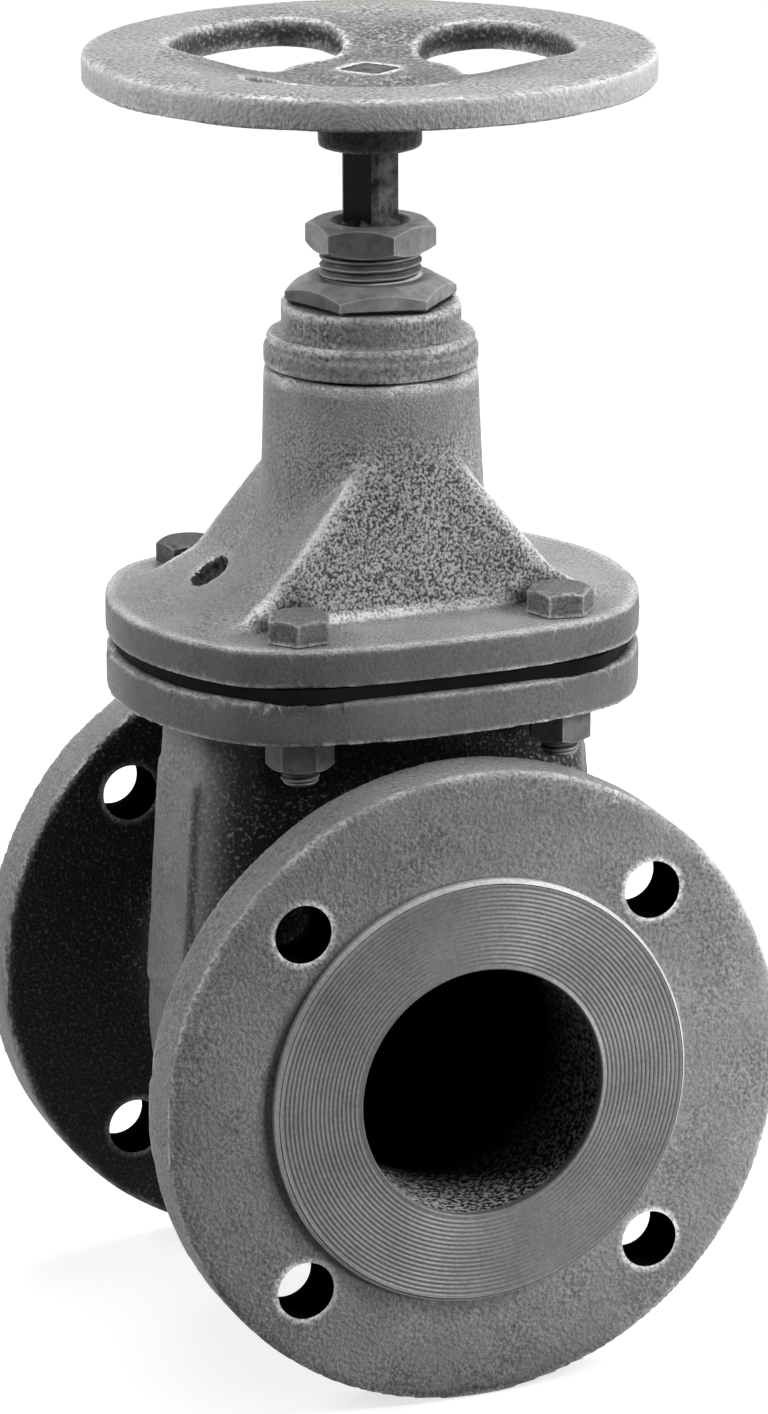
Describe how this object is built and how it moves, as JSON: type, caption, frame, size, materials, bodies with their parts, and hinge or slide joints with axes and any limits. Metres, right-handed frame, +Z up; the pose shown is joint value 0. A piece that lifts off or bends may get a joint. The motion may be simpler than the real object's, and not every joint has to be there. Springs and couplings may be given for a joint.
{
  "type": "flanged gate valve",
  "caption": "Flanged cast-iron isolation gate valve with a bolted dome bonnet, non-rising stem and dished handwheel.",
  "frame": {"origin": "centre of the inlet raised face, on the axis of the waterway", "axes": "+Y along the waterway from the inlet flange to the outlet flange, +Z up along the stem, +X to the right seen from the inlet"},
  "size_m": [0.2, 0.18, 0.4045],
  "materials": {
    "grey_cast_iron": "grey painted casting",
    "wheel_cast_iron": "grey painted casting",
    "bare_cast_iron": "rough",
    "seat_brass": "machined",
    "stem_steel": "machined",
    "plated_steel": "dull plated",
    "black_rubber": "matt"
  },
  "bodies": {
    "valve_body": {"body": "grey_cast_iron", "inlet_seat_ring": "seat_brass", "outlet_seat_ring": "seat_brass", "bonnet_gasket": "black_rubber", "bonnet": "grey_cast_iron", "bonnet_bolt_1": "plated_steel", "bonnet_bolt_2": "plated_steel", "bonnet_bolt_3": "plated_steel", "bonnet_bolt_4": "plated_steel", "bonnet_nut_1": "plated_steel", "bonnet_nut_2": "plated_steel", "bonnet_nut_3": "plated_steel", "bonnet_nut_4": "plated_steel", "stuffing_box": "grey_cast_iron", "stem_packing": "black_rubber", "gland": "plated_steel", "packing_nut": "plated_steel"},
    "wheel_and_stem": {"handwheel": "wheel_cast_iron", "stem": "stem_steel"},
    "gate_assembly": {"gate": "bare_cast_iron", "gate_face_inlet": "seat_brass", "gate_face_outlet": "seat_brass", "stem_nut": "seat_brass"}
  },
  "joints": [
    {"name": "handwheel_turn", "type": "hinge", "parent": "valve_body", "child": "wheel_and_stem", "pos_m": [0, 0.09, 0.29], "axis": [0, 0, 1], "range_deg": [-6040, 0]},
    {"name": "gate_slide", "type": "slide", "parent": "valve_body", "child": "gate_assembly", "axis": [0, 0, 1], "range_m": [-0.084, 0]}
  ],
  "couplings": [
    {"joint": "gate_slide", "follows": "handwheel_turn", "m_per_rad": 0.00079577}
  ]
}
